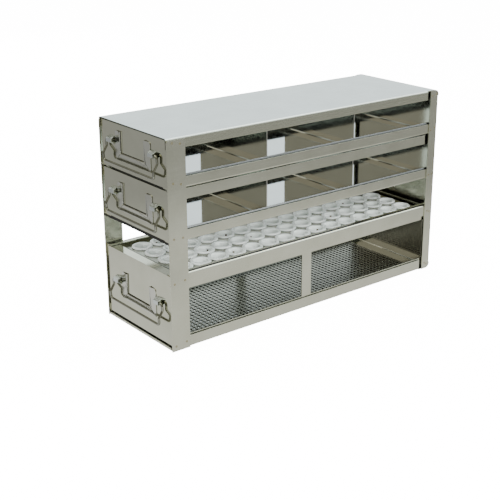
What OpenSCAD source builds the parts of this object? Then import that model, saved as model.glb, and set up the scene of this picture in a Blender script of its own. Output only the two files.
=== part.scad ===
// Freezer storage rack: a folded sheet frame with two box drawers and one tube drawer.
// Millimetres. X runs across the front, Y from the front to the back, Z up.
// The origin is on the floor, at the middle of the space that the closed rack takes.

/* [Rack] */
// Width over the posts
rack_w = 143; // [130:1:180]
// Depth from the front edge of the posts to the back panel
rack_d = 436.5; // [400:0.5:520]
// Height of the frame
rack_h = 254.5; // [246:0.5:300]
// Thickness of the frame's sheet
frame_sheet = 1.2; // [1:0.1:1.5]
// Thickness of the drawers' sheet
drawer_sheet = 1; // [0.8:0.1:1.2]
// Outer radius of the folds
fold_r = 2.2; // [1.8:0.1:2.6]

/* [Frame] */
// Width of a front post
post_w = 25; // [18:1:35]
// Radius of a post's top front corner
post_corner_r = 3; // [1:0.5:6]
// Depth of the back panel's side flanges
back_flange = 15.5; // [12:0.5:20]
// Outer radius of the wide bends at the back, over the top and under the floor
back_bend_r = 7; // [3:0.5:10]
// Height of the top cover's side flanges
top_flange = 12.5; // [8:0.5:16]

/* [Runners] */
// Height of the box drawers' runners
runner_h = 13; // [8:0.5:16]
// Width of a runner's inward flange
runner_flange = 12; // [8:0.5:20]
// Height of the upper drawer's space, from its runners' underside to the frame's top
upper_space_h = 59; // [55:0.5:66]
// Height of the middle drawer's space, from its runners' underside to the upper runners
middle_space_h = 62.5; // [56:0.5:66]
// Underside of the guide rails beside the tube drawer
guide_z = 79; // [60:0.5:84]
// Height of a guide rail
guide_h = 15.2; // [10:0.1:18]
// Width of a guide rail's inward flange
guide_flange = 9; // [5:0.5:10]
// Height of the bottom pan's side flanges
bottom_rail_h = 14.5; // [10:0.5:18]
// Height of the bottom pan's front lip
sill_h = 4.5; // [3:0.5:6]
// Height of the strips that carry the tube drawer over the lip
bottom_strip_h = 5; // [4:0.5:7]
// Width of the strips that carry the tube drawer
bottom_strip_w = 12; // [8:0.5:20]
// Depth of the ties that join two runners at their front ends
tie_d = 15; // [8:1:40]
// Gap between the top cover's flanges and the back panel's
flange_notch = 4; // [2:0.5:8]

/* [Drawers] */
// How far the fronts stand behind the posts' edges
front_recess = 2; // [1:0.5:5]
// Gap between a front and the post on each side
front_side_gap = 2.5; // [1.5:0.5:4]
// Room between a drawer and the rails beside it
side_gap = 0.6; // [0.4:0.1:1.2]
// Room between a drawer's floor and the runner under it
slide_gap = 0.4; // [0.3:0.1:1]
// Room over a drawer's front, under what is above it
top_gap = 1.5; // [0.6:0.1:3]
// Room between the drawers and the back panel
back_room = 9; // [6:0.5:16]
// Height of a box drawer's low rims
rim_h = 13.8; // [6:0.1:20]
// Height of the middle drawer's upper side rails
side_rail_h = 12.5; // [6:0.5:16]
// Height of the upper drawer's upper side rails
top_rail_h = 9.5; // [6:0.5:16]
// Depth of the foot that a divider and a back wall stand on
foot_d = 20; // [10:1:30]
// Depth of the flange along the top of a box drawer's front
box_front_flange = 5; // [3:0.5:8]
// Distance from a box drawer's front to its front divider
front_bay = 141.1; // [80:0.1:180]
// Distance from a box drawer's rear divider to its back wall
rear_bay = 141.1; // [80:0.1:180]

/* [Tube drawer] */
// Lower edge of the tube drawer's front above its floor's underside
tube_front_lift = 1.1; // [0:0.1:2]
// Height of the strip along the top of a side panel
tube_top_strip = 19; // [12:1:28]
// Height of the strip along the bottom of a side panel
tube_bottom_strip = 11; // [10:1:20]
// Width of the bar that divides a side panel's window
tube_bar_w = 15.5; // [8:0.5:25]
// Distance from the front to that bar
tube_bar_y = 197; // [150:1:250]
// Width of a side panel's front end
tube_front_end = 20; // [10:1:22]
// Width of a side panel's rear end
tube_rear_end = 5; // [4:0.5:12]
// Height of the rims of the tube drawer's floor
tube_rim_h = 9; // [5:0.5:10]
// Depth of the flange along the top of the tube drawer's front
tube_front_flange = 11; // [6:0.5:13]
// Gap between that flange and the guide rails
tube_flange_gap = 1.5; // [0.5:0.5:4]
// Thickness of the expanded-metal mat
mat_t = 1.2; // [0.8:0.1:2]
// Length of one mesh of the mat, along the drawer
mesh_long = 24; // [20:1:40]
// Width of one mesh of the mat, across the drawer
mesh_short = 18; // [14:1:30]
// Width of the mat's strands
strand_w = 2; // [1.5:0.5:4]

/* [Tube plate] */
// Inserts in one row
tube_columns = 15; // [8:1:15]
// Distance between rows
row_pitch = 28.8; // [27:0.1:30]
// Distance between inserts along a row
column_pitch = 26.2; // [26:0.1:27]
// Bore of an insert
insert_bore = 18; // [15:0.5:19]
// Diameter of an insert's flange
insert_flange = 25.6; // [24:0.1:25.8]
// Thickness of an insert's flange
insert_flange_t = 2.2; // [1.5:0.1:3]
// Wall of an insert's sleeve
insert_wall = 1.6; // [1.2:0.1:2]
// Length of an insert's sleeve under the plate
insert_sleeve = 9; // [7:0.5:12]
// Width of the slot in a sleeve's wall
slot_w = 3; // [1:0.5:4]
// Height of the slot in a sleeve's wall
slot_h = 4.5; // [2:0.5:5]
// Top of the plate under the top of the side panels
plate_drop = 2.6; // [2.4:0.1:6]
// Width of the plate from its middle to its edge
plate_half_w = 57; // [56.5:0.5:60]
// Distance from the front sheet to the plate
plate_setback = 15; // [14:1:18]
// Distance from the plate to the back wall
plate_rear_gap = 5; // [3:1:8]
// How far the ledges reach under the plate
ledge_reach = 8; // [5:1:12]
// Height of the ledges' welded legs
ledge_h = 8; // [5:1:12]
// Height of the plate's turned-down edges
plate_edge_h = 10; // [6:0.5:14]

/* [Handles and label holders] */
// Diameter of a handle's wire
wire_d = 3; // [2.5:0.1:3.4]
// Gap between a bridge strap and the handle's arm outside it
arm_gap = 3; // [2:0.5:6]
// Distance from a handle's pivot to its grip
handle_drop = 25; // [20:1:27]
// Radius of a handle's corners, to the middle of the wire
handle_bend_r = 4; // [3:0.5:6]
// How far the bends in a handle's arms set its grip out from its pivot
handle_offset = 6; // [4:0.5:7]
// Angle at which a handle's arms lean in towards the front
handle_lean = 4; // [0:1:8]
// Gap between a label holder and the bridge strap beside it
strap_gap = 2; // [1.5:0.5:4]
// Width of a bridge strap
strap_w = 10; // [7:0.5:11]
// Height of a bridge strap
strap_h = 10; // [9:0.5:12]
// How far a bridge strap stands off the front
strap_proud = 6; // [5.8:0.1:7]
// Height of the upper handle's pivot above its front's lower edge
upper_pivot = 34.5; // [30:0.5:36]
// Height of the middle handle's pivot above its front's lower edge
middle_pivot = 35; // [30:0.5:38]
// Height of the tube drawer handle's pivot above its front's lower edge
tube_pivot = 49; // [35:0.5:55]
// Width of a label holder
label_w = 74; // [50:1:76]
// Height of a label holder
label_h = 35; // [28:1:36]
// Width of a label holder's sides
label_side = 12; // [6:1:16]
// Width of a label holder's lower strip
label_lower = 8.5; // [5:0.5:12]
// Distance from a label holder's lower edge to the pivot above it
label_under_pivot = 22.5; // [21:0.5:24]
// Room for the card behind a label holder
label_room = 0.7; // [0.5:0.1:1.2]
// Radius of a label holder's upper outer corners
label_corner_r = 3; // [1:0.5:6]

/* [Hidden] */
$fn = 48;

// Finish colours
steel = "#b9bab0";
bright_steel = "#c9cdcb";
dark_steel = "#9b9c92";
white_plastic = "#e2e7e3";

// Small sizes that the pieces share: flats, welding tabs, lips and the clearances of close fits
wrap_flat = 1;
tab_l = 10;
lip_h = 8;
fit_gap = 0.1;
pivot_gap = 0.3;
pin_gap = 1.5;
label_sheet = 0.8;
insert_edge = 0.5;
slot_depth = 1;
turn_step = 137.5;
arm_bend_r = 3;
arm_slant = atan(3 / 4);

// Sizes that follow from the values above
half_w = rack_w / 2;
inner_half_w = half_w - frame_sheet;
drawer_half_w = inner_half_w - frame_sheet - side_gap;
front_half_w = inner_half_w - front_side_gap;
drawer_y = front_recess + drawer_sheet;
drawer_back_y = rack_d - frame_sheet - back_room;
wrap_leg = back_bend_r + wrap_flat;
back_flange_y = rack_d - back_flange;
rail_end_y = back_flange_y - flange_notch;
upper_runner_z = rack_h - upper_space_h;
middle_runner_z = upper_runner_z - middle_space_h;
upper_floor_z = upper_runner_z + frame_sheet + slide_gap;
middle_floor_z = middle_runner_z + frame_sheet + slide_gap;
tube_floor_z = bottom_strip_h + slide_gap;
tube_front_z = tube_floor_z + tube_front_lift;
upper_top_z = rack_h - frame_sheet - top_gap;
middle_top_z = upper_runner_z - top_gap;
front_divider_y = drawer_y + front_bay;
rear_divider_y = drawer_back_y - rear_bay;
tube_top_z = guide_z + guide_h - frame_sheet;
tube_side_top_z = tube_top_z - side_gap;

// The tube plate and its inserts, in four rows across the drawer
tube_rows = 4;
sleeve_d = insert_bore + 2 * insert_wall;
plate_y = drawer_y + plate_setback;
plate_d = drawer_back_y - drawer_sheet - plate_rear_gap - plate_y;
plate_top_z = tube_side_top_z - plate_drop;
ledge_z = plate_top_z - plate_edge_h;
first_column_y = plate_y + (plate_d - (tube_columns - 1) * column_pitch) / 2;
first_row_x = -(tube_rows - 1) * row_pitch / 2;

// Handles: the straps stand beside the label holder, and the arms outside the straps
strap_inset = label_w / 2 + strap_gap;
handle_half_w = strap_inset + strap_w + arm_gap + wire_d / 2;

// The pivot sits inside the bridge straps, just clear of their outer wall
pivot_y = -(strap_proud - drawer_sheet - wire_d / 2 - pivot_gap);

// Each arm runs down beside the front, slants out between two bends and ends in the grip.
// The slant's straight part, the height of both bends with it, and the straight parts beside it
slant_l = (handle_offset - 2 * arm_bend_r * (1 - cos(arm_slant))) / sin(arm_slant);
slant_h = 2 * arm_bend_r * sin(arm_slant) + slant_l * cos(arm_slant);
arm_straight = (handle_drop - 2 * handle_bend_r - slant_h) / 2;
low_bend_z = -handle_bend_r - arm_straight - slant_h;
handle_front = max(strap_proud, -pivot_y + (handle_offset - arm_bend_r) * cos(handle_lean)
  + low_bend_z * sin(handle_lean) + arm_bend_r + wire_d / 2);
overhang = max(0, handle_front - front_recess);
middle_y = (rack_d - overhang) / 2;

// The mat: the middles of its openings, and one opening's corners about its middle
mat_border = 1;
mat_y = drawer_y + drawer_sheet + mat_border;
mat_w = 2 * (drawer_half_w - 2 * drawer_sheet - fold_r);
mat_d = drawer_back_y - foot_d - mat_border - mat_y;
long_steps = floor(2 * (mat_d - 2 * mat_border) / mesh_long);
short_steps = floor(2 * (mat_w - 2 * mat_border) / mesh_short);
mesh_start = [(mat_w - short_steps * mesh_short / 2) / 2, (mat_d - long_steps * mesh_long / 2) / 2];
mesh_reach = mesh_long * mesh_short / norm([mesh_long, mesh_short]) / 2;
mesh_open = 1 - strand_w / 2 / mesh_reach;
diamond = [for (way = [[1, 0], [0, 1], [-1, 0], [0, -1]])
  mesh_open / 2 * [way[0] * mesh_short, way[1] * mesh_long]];
mesh_centres = [for (i = [1:short_steps - 1], j = [1:long_steps - 1]) if ((i + j) % 2 == 0)
  mesh_start + [i * mesh_short / 2, j * mesh_long / 2]];

// Where a tube's insert stands on the plate
function seat_at(row, column) = [first_row_x + (row - 1) * row_pitch,
  first_column_y + (column - 1) * column_pitch, plate_top_z];

// ---- Shared forms ----

// Sets the corner frame, with Y from the posts' front edge, over the origin
module placed() translate([0, -middle_y, 0]) children();

// The same piece on the left (-1) or on the right (1)
module on_side(side) mirror([side < 0 ? 1 : 0, 0, 0]) children();

// Turns the first quadrant to the one that way points into
module quadrant(way) mirror([way[0] < 0 ? 1 : 0, 0]) mirror([0, way[1] < 0 ? 1 : 0]) children();

// A quarter ring, for a fold whose outer corner is at the origin
module fold_2d(t, r) {
  translate([r, r]) intersection() {
    difference() {
      circle(r);
      circle(r - t);
    }
    translate([-r, -r]) square(r);
  }
}

// A folded angle with its corner at the origin and legs a along +X and b along +Y
module angle_2d(a, b, t, r = fold_r) {
  fold_2d(t, r);
  translate([r, 0]) square([a - r, t]);
  translate([0, r]) square([t, b - r]);
}

// A folded channel, w wide about X = 0, with its legs h high along +Y
module channel_2d(w, h, t, r = fold_r) {
  translate([-w / 2, 0]) angle_2d(w / 2, h, t, r);
  translate([w / 2, 0]) mirror([1, 0]) angle_2d(w / 2, h, t, r);
}

// A rectangle with a radius at each corner: lower left, lower right, upper right, upper left
module plate_2d(size, radii) {
  corner = [[0, 0], [size[0], 0], size, [0, size[1]]];
  inward = [[1, 1], [-1, 1], [-1, -1], [1, -1]];
  difference() {
    square(size);
    for (i = [0:3]) if (radii[i] > 0) translate(corner[i]) quadrant(inward[i]) difference() {
      square(radii[i]);
      translate([radii[i], radii[i]]) circle(radii[i]);
    }
  }
}

// A profile in X and Z, run along Y from y0 to y1
module along_y(y0, y1) translate([0, y1, 0]) rotate([90, 0, 0]) linear_extrude(y1 - y0) children();

// A profile in Y and Z, run along X from x0 to x1
module along_x(x0, x1) translate([x0, 0, 0]) rotate([90, 0, 90]) linear_extrude(x1 - x0) children();

// ---- Frame ----

// The top sheet turns down at both sides and, in a wide bend, at the back
module top_cover() color(bright_steel) placed() translate([0, 0, rack_h]) mirror([0, 0, 1]) {
  along_y(0, rail_end_y) channel_2d(2 * inner_half_w, top_flange, frame_sheet);
  along_x(-inner_half_w, inner_half_w) translate([rack_d, 0]) mirror([1, 0])
    angle_2d(rack_d - rail_end_y, wrap_leg, frame_sheet, back_bend_r);
}

// The back sheet meets the wide bends of the cover and the pan, and folds forward at both sides
module back_panel() color(steel) placed() {
  translate([0, rack_d, wrap_leg]) mirror([0, 1, 0]) linear_extrude(rack_h - 2 * wrap_leg)
    channel_2d(rack_w, back_flange, frame_sheet);
  for (side = [-1, 1]) on_side(side) along_x(inner_half_w, half_w) translate([back_flange_y, 0]) {
    plate_2d([back_flange, wrap_leg], [0, back_bend_r, 0, 0]);
    translate([0, rack_h - wrap_leg]) plate_2d([back_flange, wrap_leg], [0, 0, back_bend_r, 0]);
  }
}

// The floor sheet turns up at both sides, in a low front lip and, in a wide bend, at the back
module bottom_pan() color(steel) placed() {
  along_y(fold_r, rail_end_y) channel_2d(2 * inner_half_w, bottom_rail_h, frame_sheet);
  along_x(-inner_half_w + fold_r, inner_half_w - fold_r)
    angle_2d(post_w, sill_h, frame_sheet);
  along_x(-inner_half_w, inner_half_w) translate([rack_d, 0]) mirror([1, 0])
    angle_2d(rack_d - rail_end_y, wrap_leg, frame_sheet, back_bend_r);
}

// A flat strip outside the rails, from the floor to the cover's fold
module front_post(side) color(steel) placed() on_side(side) along_x(inner_half_w, half_w)
  plate_2d([post_w, rack_h - fold_r], [0, 0, 0, post_corner_r]);

module front_post_left() front_post(-1);
module front_post_right() front_post(1);

// An angle inside the posts. Its flange points inwards, along its lower or its upper edge.
module rail(side, z, h, flange, on_top = false) color(steel) placed() on_side(side)
  along_y(drawer_y, rack_d - fold_r - fit_gap) translate([inner_half_w, on_top ? z + h : z])
    quadrant([-1, on_top ? -1 : 1]) angle_2d(flange, h, frame_sheet);

module upper_runner_left() rail(-1, upper_runner_z, runner_h, runner_flange);
module upper_runner_right() rail(1, upper_runner_z, runner_h, runner_flange);
module middle_runner_left() rail(-1, middle_runner_z, runner_h, runner_flange);
module middle_runner_right() rail(1, middle_runner_z, runner_h, runner_flange);
// A strip across the frame, level with the runners' flanges and between them
module tie(z) color(dark_steel) placed() {
  tie_half_w = inner_half_w - runner_flange;
  along_x(-tie_half_w, tie_half_w) translate([drawer_y, z]) square([tie_d, frame_sheet]);
}

module upper_tie() tie(upper_runner_z);
module middle_tie() tie(middle_runner_z);
module guide_rail_left() rail(-1, guide_z, guide_h, guide_flange, true);
module guide_rail_right() rail(1, guide_z, guide_h, guide_flange, true);

// A low channel on the pan's floor, which carries the tube drawer over the front lip
module bottom_strip(side) color(dark_steel) placed() on_side(side)
  along_y(drawer_y + fold_r, rail_end_y)
    translate([inner_half_w - frame_sheet - fold_r - bottom_strip_w / 2, bottom_strip_h])
      mirror([0, 1]) channel_2d(bottom_strip_w, bottom_strip_h - frame_sheet, frame_sheet);

module bottom_strip_left() bottom_strip(-1);
module bottom_strip_right() bottom_strip(1);

// ---- Pieces that the drawers share ----

// A flat front sheet, which stands between the posts
module front_sheet(bottom_z, top_z) color(steel) placed() along_y(front_recess, drawer_y)
  translate([-front_half_w, bottom_z]) square([2 * front_half_w, top_z - bottom_z]);

// A flange folded back along the top of a front
module front_flange(flange_half_w, depth, top_z) color(bright_steel) placed()
  along_x(-flange_half_w, flange_half_w)
    translate([drawer_y, top_z - drawer_sheet]) square([depth, drawer_sheet]);

// A floor with rims folded up at its sides, and a lip behind the front
module tray(floor_z, tray_half_w, tray_rim_h) color(bright_steel) placed() {
  along_y(drawer_y, drawer_back_y) translate([0, floor_z])
    channel_2d(2 * tray_half_w, tray_rim_h, drawer_sheet);
  flat_half_w = tray_half_w - fold_r;
  along_x(-flat_half_w, flat_half_w)
    translate([drawer_y, floor_z + drawer_sheet]) square([drawer_sheet, lip_h]);
}

// An upright sheet across a drawer, on a foot that is folded forward along the floor.
// The foot keeps clear of the tray's inner folds.
module upright(y, floor_z, top_z, across_half_w) color(dark_steel) placed() {
  foot_half_w = across_half_w - fold_r + drawer_sheet;
  foot_z = floor_z + drawer_sheet;
  along_x(-foot_half_w, foot_half_w) translate([y, foot_z]) quadrant([-1, 1])
    angle_2d(foot_d, 2 * fold_r, drawer_sheet);
  along_y(y - drawer_sheet, y) translate([-across_half_w, foot_z + fold_r])
    square([2 * across_half_w, top_z - foot_z - fold_r]);
}

// A U-shaped frame that stands off the front and takes a card from above
module label_holder(pivot_z) color(bright_steel) placed()
  translate([0, front_recess, pivot_z - label_under_pivot]) rotate([90, 0, 0]) {
    linear_extrude(label_room) label_rim();
    translate([0, 0, label_room]) linear_extrude(label_sheet) label_face();
  }

// The folded rim that spaces the label holder off the front
module label_rim() difference() {
  label_outline();
  translate([-label_w / 2 + label_sheet, label_sheet])
    square([label_w - 2 * label_sheet, label_h]);
}

// The label holder's face, open at the top
module label_face() difference() {
  label_outline();
  translate([-label_w / 2 + label_side, label_lower])
    square([label_w - 2 * label_side, label_h]);
}

module label_outline() translate([-label_w / 2, 0])
  plate_2d([label_w, label_h], [0, 0, label_corner_r, label_corner_r]);

// Two bridges of bent strip, in which the handle's ends turn
module handle_straps(pivot_z) color(bright_steel) placed()
  for (side = [-1, 1]) on_side(side) along_x(strap_inset, strap_inset + strap_w)
    translate([front_recess, pivot_z]) mirror([1, 0]) strap_2d();

// A bridge from the side: a blunt wedge with an even wall
module strap_2d() {
  crown = wire_d + 2 * pivot_gap;
  wall = drawer_sheet;
  difference() {
    polygon([[0, -strap_h / 2], [strap_proud, -crown / 2 - wall / 2],
      [strap_proud, crown / 2 + wall / 2], [0, strap_h / 2]]);
    polygon([[-wall, -strap_h / 2 + wall], [0, -strap_h / 2 + wall],
      [strap_proud - wall, -crown / 2 + wall / 4], [strap_proud - wall, crown / 2 - wall / 4],
      [0, strap_h / 2 - wall], [-wall, strap_h / 2 - wall]]);
  }
}

// A bail of one bent wire, hanging from its pivot. Each half follows the wire from its pin
// to the middle of the grip, and each step starts where the last one ends.
module handle(pivot_z) color(bright_steel) placed()
  translate([0, front_recess + pivot_y, pivot_z]) rotate([handle_lean, 0, 0])
    for (side = [-1, 1]) on_side(side) translate([handle_half_w - handle_bend_r, 0, 0]) {
      pin = handle_half_w - handle_bend_r - strap_inset - pin_gap;
      rotate([0, -90, 0]) cylinder(h = pin, d = wire_d);
      translate([0, 0, -handle_bend_r]) wire_corner(0);
      translate([handle_bend_r, 0, -handle_bend_r]) arm() {
        translate([-handle_bend_r, 0, 0]) wire_corner(-90);
        translate([-handle_bend_r, 0, -handle_bend_r]) rotate([0, -90, 0])
          cylinder(h = handle_half_w - handle_bend_r, d = wire_d);
      }
    }

// An arm from its upper end down, with what follows it at its lower end
module arm() down(arm_straight) slant_bend(1) down(slant_l) slant_bend(-1) down(arm_straight)
  children();

// A straight wire down from the origin, with what follows it at its end
module down(l) {
  translate([0, 0, -l]) cylinder(h = l, d = wire_d);
  translate([0, 0, -l]) children();
}

// A bend from the origin through the slant's angle, out (1) or in (-1), and what follows it
module slant_bend(way) translate([0, -way * arm_bend_r, 0]) {
  mirror([0, 0, 1]) mirror([0, way < 0 ? 1 : 0, 0]) rotate([90, 0, 90])
    wire_bend(arm_bend_r, arm_slant);
  rotate([-way * arm_slant, 0, 0]) translate([0, way * arm_bend_r, 0]) children();
}

// A quarter bend in the plane of X and Z, from start to start + 90 degrees
module wire_corner(start) rotate([90, 0, 0]) rotate([0, 0, start])
  wire_bend(handle_bend_r, 90);

// A bend of the wire about Z, from the X axis round
module wire_bend(r, turn) rotate_extrude(angle = turn) translate([r, 0]) circle(d = wire_d);

// ---- Box drawers ----

// A strip along the top of a side, whose front end turns in as a welding tab
module side_rail(side, top_z, h) color(steel) placed() on_side(side)
  translate([0, 0, top_z - h]) linear_extrude(h) translate([drawer_half_w, drawer_y])
    quadrant([-1, 1]) angle_2d(tab_l, rail_end_y - drawer_y, drawer_sheet);

// The back wall, with side tabs that reach forward inside the side rails
module box_back_wall(floor_z, top_z, h) {
  inside_half_w = drawer_half_w - drawer_sheet;
  upright(drawer_back_y, floor_z, top_z, inside_half_w);
  color(dark_steel) placed() for (side = [-1, 1]) on_side(side)
    translate([inside_half_w - drawer_sheet, drawer_back_y - foot_d, top_z - h])
      cube([drawer_sheet, foot_d - drawer_sheet, h]);
}

module box_divider(y, floor_z, top_z) upright(y, floor_z, top_z, drawer_half_w - drawer_sheet);

// A box drawer's front, whose top flange runs between the side rails' welding tabs
module box_front(floor_z, top_z) {
  front_sheet(floor_z, top_z);
  front_flange(drawer_half_w - tab_l - fit_gap, box_front_flange, top_z);
}

module upper_front() box_front(upper_floor_z, upper_top_z);
module upper_tray() tray(upper_floor_z, drawer_half_w, rim_h);
module upper_side_rail_left() side_rail(-1, upper_top_z, top_rail_h);
module upper_side_rail_right() side_rail(1, upper_top_z, top_rail_h);
module upper_divider_front() box_divider(front_divider_y, upper_floor_z, upper_top_z);
module upper_divider_rear() box_divider(rear_divider_y, upper_floor_z, upper_top_z);
module upper_back_wall() box_back_wall(upper_floor_z, upper_top_z, top_rail_h);
module upper_label_holder() label_holder(upper_floor_z + upper_pivot);
module upper_handle_straps() handle_straps(upper_floor_z + upper_pivot);
module upper_handle() handle(upper_floor_z + upper_pivot);

module middle_front() box_front(middle_floor_z, middle_top_z);
module middle_tray() tray(middle_floor_z, drawer_half_w, rim_h);
module middle_side_rail_left() side_rail(-1, middle_top_z, side_rail_h);
module middle_side_rail_right() side_rail(1, middle_top_z, side_rail_h);
module middle_divider_front() box_divider(front_divider_y, middle_floor_z, middle_top_z);
module middle_divider_rear() box_divider(rear_divider_y, middle_floor_z, middle_top_z);
module middle_back_wall() box_back_wall(middle_floor_z, middle_top_z, side_rail_h);
module middle_label_holder() label_holder(middle_floor_z + middle_pivot);
module middle_handle_straps() handle_straps(middle_floor_z + middle_pivot);
module middle_handle() handle(middle_floor_z + middle_pivot);

// ---- Tube drawer ----

// The tube drawer's front, whose top flange runs between the guide rails
module tube_front() {
  front_sheet(tube_front_z, tube_top_z);
  front_flange(inner_half_w - guide_flange - tube_flange_gap, tube_front_flange, tube_top_z);
}

module tube_tray() tray(tube_floor_z, drawer_half_w - drawer_sheet, tube_rim_h);

// A side panel with two windows and a bar between them
module tube_side(side) color(steel) placed() on_side(side)
  along_x(drawer_half_w - drawer_sheet, drawer_half_w) {
    window_z = tube_floor_z + tube_bottom_strip;
    window_h = tube_side_top_z - tube_top_strip - window_z;
    bar_y = drawer_y + tube_bar_y;
    front_window_y = drawer_y + tube_front_end;
    rear_window_y = bar_y + tube_bar_w;
    difference() {
      translate([drawer_y, tube_floor_z])
        square([drawer_back_y - drawer_y, tube_side_top_z - tube_floor_z]);
      translate([front_window_y, window_z]) square([bar_y - front_window_y, window_h]);
      translate([rear_window_y, window_z])
        square([drawer_back_y - tube_rear_end - rear_window_y, window_h]);
    }
  }

module tube_side_left() tube_side(-1);
module tube_side_right() tube_side(1);

module tube_back_wall()
  upright(drawer_back_y, tube_floor_z, tube_side_top_z, drawer_half_w - 2 * drawer_sheet);

// An angle that carries one end of the tube plate: its leg is welded to the sheet behind it
module plate_ledge(l) along_x(-plate_half_w + fold_r, plate_half_w - fold_r)
  mirror([0, 1]) angle_2d(l, ledge_h, drawer_sheet);

module plate_ledge_front() color(dark_steel) placed() translate([0, drawer_y, ledge_z])
  plate_ledge(plate_setback + ledge_reach);

module plate_ledge_rear() color(dark_steel) placed()
  translate([0, drawer_back_y - drawer_sheet, ledge_z]) mirror([0, 1, 0])
    plate_ledge(plate_rear_gap + ledge_reach);

// Expanded metal on the drawer's floor: one sheet with staggered diamond openings
module mesh_mat() color(steel) placed()
  translate([-mat_w / 2, mat_y, tube_floor_z + drawer_sheet]) linear_extrude(mat_t)
    polygon(concat([[0, 0], [mat_w, 0], [mat_w, mat_d], [0, mat_d]],
        [for (centre = mesh_centres, way = diamond) centre + way]),
      concat([[0, 1, 2, 3]], [for (i = [1:len(mesh_centres)]) [for (k = [3:-1:0]) 4 * i + k]]));

// The plate that holds the inserts, with its edges turned down onto the ledges
module tube_plate() color(bright_steel) placed() difference() {
  translate([0, 0, plate_top_z]) mirror([0, 0, 1]) {
    along_y(plate_y + fold_r, plate_y + plate_d - fold_r)
      channel_2d(2 * plate_half_w, plate_edge_h, drawer_sheet);
    along_x(-plate_half_w + fold_r, plate_half_w - fold_r) translate([plate_y + plate_d / 2, 0])
      channel_2d(plate_d, plate_edge_h, drawer_sheet);
  }
  for (row = [1:tube_rows], column = [1:tube_columns]) translate(seat_at(row, column))
    cylinder(h = 2 * fold_r, d = sleeve_d + 2 * fit_gap, center = true);
}

// A flanged plastic insert, whose flange lies on the plate
module tube_insert(turn) rotate([0, 0, turn]) difference() {
  rotate_extrude() polygon([
    [insert_bore / 2, -drawer_sheet - insert_sleeve],
    [sleeve_d / 2, -drawer_sheet - insert_sleeve],
    [sleeve_d / 2, 0],
    [insert_flange / 2, 0],
    [insert_flange / 2, insert_flange_t - insert_edge],
    [insert_flange / 2 - insert_edge, insert_flange_t],
    [insert_bore / 2 + insert_edge, insert_flange_t],
    [insert_bore / 2, insert_flange_t - insert_edge]]);
  translate([insert_bore / 2 - insert_wall, -slot_w / 2, -drawer_sheet - slot_h - slot_depth])
    cube([3 * insert_wall, slot_w, slot_h]);
}

// One row of inserts, each turned its own way
module insert_row(row) color(white_plastic) placed()
  for (column = [1:tube_columns]) translate(seat_at(row, column))
    tube_insert(turn_step * (column + row * tube_columns));

module insert_row_1() insert_row(1);
module insert_row_2() insert_row(2);
module insert_row_3() insert_row(3);
module insert_row_4() insert_row(4);

module tube_label_holder() label_holder(tube_front_z + tube_pivot);
module tube_handle_straps() handle_straps(tube_front_z + tube_pivot);
module tube_handle() handle(tube_front_z + tube_pivot);

top_cover();
back_panel();
bottom_pan();
front_post_left();
front_post_right();
upper_runner_left();
upper_runner_right();
middle_runner_left();
middle_runner_right();
upper_tie();
middle_tie();
guide_rail_left();
guide_rail_right();
bottom_strip_left();
bottom_strip_right();
upper_front();
upper_tray();
upper_side_rail_left();
upper_side_rail_right();
upper_divider_front();
upper_divider_rear();
upper_back_wall();
upper_label_holder();
upper_handle_straps();
upper_handle();
middle_front();
middle_tray();
middle_side_rail_left();
middle_side_rail_right();
middle_divider_front();
middle_divider_rear();
middle_back_wall();
middle_label_holder();
middle_handle_straps();
middle_handle();
tube_front();
tube_tray();
tube_side_left();
tube_side_right();
tube_back_wall();
plate_ledge_front();
plate_ledge_rear();
mesh_mat();
tube_plate();
insert_row_1();
insert_row_2();
insert_row_3();
insert_row_4();
tube_label_holder();
tube_handle_straps();
tube_handle();
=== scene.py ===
# %% [markdown]
# # Dressing a stainless-steel freezer rack
#
# The rack is a frame of folded steel sheet. Two box drawers and a tube drawer slide out of it
# towards the front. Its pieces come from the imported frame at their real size, so this lesson
# is about what a camera sees of them: mirror-like cold-rolled sheet, white moulded inserts, a
# punched mat, spot welds and label holders.
#
# The first cell loads the frame. Everything after it is in metres, with X across the front,
# Y from the front to the back and Z up.

# %% Load the frame
import math

import bmesh
import bpy
from mathutils import Matrix, Vector


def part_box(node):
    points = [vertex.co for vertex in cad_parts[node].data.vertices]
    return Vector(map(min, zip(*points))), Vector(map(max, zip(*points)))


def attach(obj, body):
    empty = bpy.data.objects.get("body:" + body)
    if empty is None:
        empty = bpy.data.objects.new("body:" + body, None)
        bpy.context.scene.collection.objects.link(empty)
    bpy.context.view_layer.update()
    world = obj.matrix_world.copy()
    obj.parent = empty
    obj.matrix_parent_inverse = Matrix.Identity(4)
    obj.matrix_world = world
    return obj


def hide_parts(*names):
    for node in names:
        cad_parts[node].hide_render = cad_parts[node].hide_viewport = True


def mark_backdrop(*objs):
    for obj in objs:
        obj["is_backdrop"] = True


MM = 0.001
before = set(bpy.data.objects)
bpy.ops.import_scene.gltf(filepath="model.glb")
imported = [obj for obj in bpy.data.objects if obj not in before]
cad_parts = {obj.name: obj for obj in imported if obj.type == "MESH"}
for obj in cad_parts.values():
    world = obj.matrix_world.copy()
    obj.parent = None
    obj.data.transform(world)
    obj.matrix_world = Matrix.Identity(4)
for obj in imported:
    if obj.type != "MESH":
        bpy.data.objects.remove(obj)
bpy.ops.object.select_all(action="DESELECT")
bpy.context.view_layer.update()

# %% [markdown]
# ## The camera
#
# From well back and through a long lens, the rack's edges stay nearly parallel. The camera
# looks down at about 20 degrees, from a bit right of the corner between the front and the
# right side. A small lens shift puts the rack left of the middle, which keeps its upright
# edges as they are. Turning the camera would tilt them.

# %% The camera
CAMERA_PLACE = Vector((0.978, -0.810, 0.530))
CAMERA_AZIMUTH = math.radians(49.65)
CAMERA_ELEVATION = math.radians(19.75)
CAMERA_ROLL = math.radians(0.51)
RACK_MIDDLE = Vector((0, 0, 0.127))


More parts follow.
